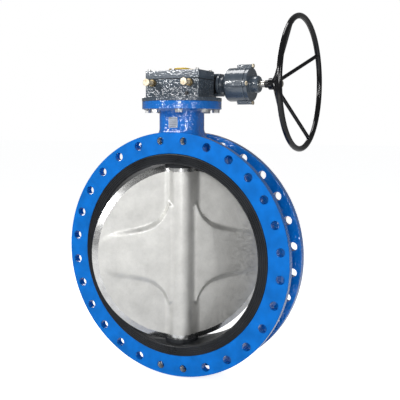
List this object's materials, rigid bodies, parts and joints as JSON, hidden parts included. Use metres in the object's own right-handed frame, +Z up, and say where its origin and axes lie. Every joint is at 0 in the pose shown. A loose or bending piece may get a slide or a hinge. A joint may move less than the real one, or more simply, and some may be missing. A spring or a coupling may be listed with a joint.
{
  "type": "butterfly valve",
  "caption": "Large double-flanged rubber-lined butterfly valve, disc partly open, with worm gearbox, planetary reducer and handwheel.",
  "frame": {"origin": "the valve centre, where the stem axis crosses the pipe axis, half-way between the flange faces", "axes": "+Z up along the stem towards the gearbox, +X along the worm shaft towards the handwheel, +Y along the pipe axis, away from the viewer of the picture"},
  "size_m": [1.125, 0.6555, 1.6405],
  "materials": {
    "body_paint": "gloss blue paint over cast ductile iron",
    "liner_rubber": "smooth moulded black EPDM",
    "plate_metal": "matt etched plate",
    "disc_metal": "satin cast stainless steel with a machined edge",
    "stem_steel": "ground",
    "bush_bronze": "turned",
    "seal_rubber": "matt",
    "gearbox_paint": "gloss slate grey paint over cast iron",
    "dark_paint": "satin black",
    "wheel_bronze": "cut and greased",
    "gear_steel": "cut and greased",
    "bearing_steel": "ground",
    "shaft_steel": "turned",
    "bolt_zinc": "yellowish zinc plate",
    "nut_brass": "dull yellow",
    "indicator_paint": "yellow",
    "handwheel_paint": "gloss black paint"
  },
  "bodies": {
    "casing": {"bottom_cover": "body_paint", "bottom_gasket": "seal_rubber", "cover_gasket": "seal_rubber", "gearbox_cover": "gearbox_paint", "gearbox_housing": "gearbox_paint", "indicator_base": "indicator_paint", "input_bearing": "bearing_steel", "input_seal": "seal_rubber", "lower_bush": "bush_bronze", "lower_o_ring": "seal_rubber", "mounting_bolt_1": "bolt_zinc", "mounting_bolt_2": "bolt_zinc", "mounting_bolt_3": "bolt_zinc", "mounting_bolt_4": "bolt_zinc", "mounting_bolt_5": "bolt_zinc", "mounting_bolt_6": "bolt_zinc", "mounting_bolt_7": "bolt_zinc", "mounting_bolt_8": "bolt_zinc", "nameplate": "plate_metal", "neck_lower_bush": "bush_bronze", "neck_o_ring": "seal_rubber", "neck_upper_bush": "bush_bronze", "reducer_bolt_1": "bolt_zinc", "reducer_bolt_2": "bolt_zinc", "reducer_bolt_3": "bolt_zinc", "reducer_bolt_4": "bolt_zinc", "reducer_end_cover": "gearbox_paint", "reducer_housing": "gearbox_paint", "ring_gear": "gear_steel", "rubber_seat": "liner_rubber", "stem_packing": "seal_rubber", "stop_bolt_closed": "bolt_zinc", "stop_bolt_open": "bolt_zinc", "stop_locknut_closed": "nut_brass", "stop_locknut_open": "nut_brass", "thrust_washer": "bush_bronze", "valve_body": "body_paint", "worm_bearing_cap": "dark_paint", "worm_bearing_left": "bearing_steel", "worm_bearing_right": "bearing_steel", "worm_end_cap": "gearbox_paint", "worm_wheel_bush": "bush_bronze"},
    "disc_and_stems": {"valve_disc": "disc_metal", "upper_stem": "stem_steel", "lower_stem": "stem_steel", "upper_disc_key": "stem_steel", "lower_disc_key": "stem_steel", "gear_key": "stem_steel", "worm_wheel": "wheel_bronze", "indicator_pointer": "indicator_paint"},
    "worm_and_carrier": {"worm_shaft": "gear_steel", "planet_carrier": "gear_steel"},
    "handwheel_and_sun": {"input_shaft": "shaft_steel", "handwheel": "handwheel_paint", "handwheel_key": "shaft_steel", "handwheel_washer": "shaft_steel", "handwheel_nut": "bolt_zinc"},
    "planet_1": {"planet_gear_1": "gear_steel"},
    "planet_2": {"planet_gear_2": "gear_steel"},
    "planet_3": {"planet_gear_3": "gear_steel"}
  },
  "joints": [
    {"name": "handwheel_turn", "type": "hinge", "parent": "casing", "child": "handwheel_and_sun", "pos_m": [0.4, 0.11, 0.778], "axis": [1, 0, 0], "range_deg": [-6300, 9900]},
    {"name": "worm_turn", "type": "hinge", "parent": "casing", "child": "worm_and_carrier", "pos_m": [0, 0.11, 0.778], "axis": [1, 0, 0], "range_deg": [-1575, 2475]},
    {"name": "disc_turn", "type": "hinge", "parent": "casing", "child": "disc_and_stems", "pos_m": [0, 0, 0], "axis": [0, 0, 1], "range_deg": [-35, 55]},
    {"name": "planet_1_turn", "type": "hinge", "parent": "worm_and_carrier", "child": "planet_1", "pos_m": [0.234, 0.11, 0.742], "axis": [1, 0, 0], "range_deg": [-7425, 4725]},
    {"name": "planet_2_turn", "type": "hinge", "parent": "worm_and_carrier", "child": "planet_2", "pos_m": [0.234, 0.14118, 0.796], "axis": [1, 0, 0], "range_deg": [-7425, 4725]},
    {"name": "planet_3_turn", "type": "hinge", "parent": "worm_and_carrier", "child": "planet_3", "pos_m": [0.234, 0.07882, 0.796], "axis": [1, 0, 0], "range_deg": [-7425, 4725]}
  ],
  "couplings": [
    {"joint": "worm_turn", "follows": "handwheel_turn", "ratio": 0.25},
    {"joint": "disc_turn", "follows": "handwheel_turn", "ratio": 0.0055556},
    {"joint": "planet_1_turn", "follows": "handwheel_turn", "ratio": -0.75},
    {"joint": "planet_2_turn", "follows": "handwheel_turn", "ratio": -0.75},
    {"joint": "planet_3_turn", "follows": "handwheel_turn", "ratio": -0.75}
  ]
}
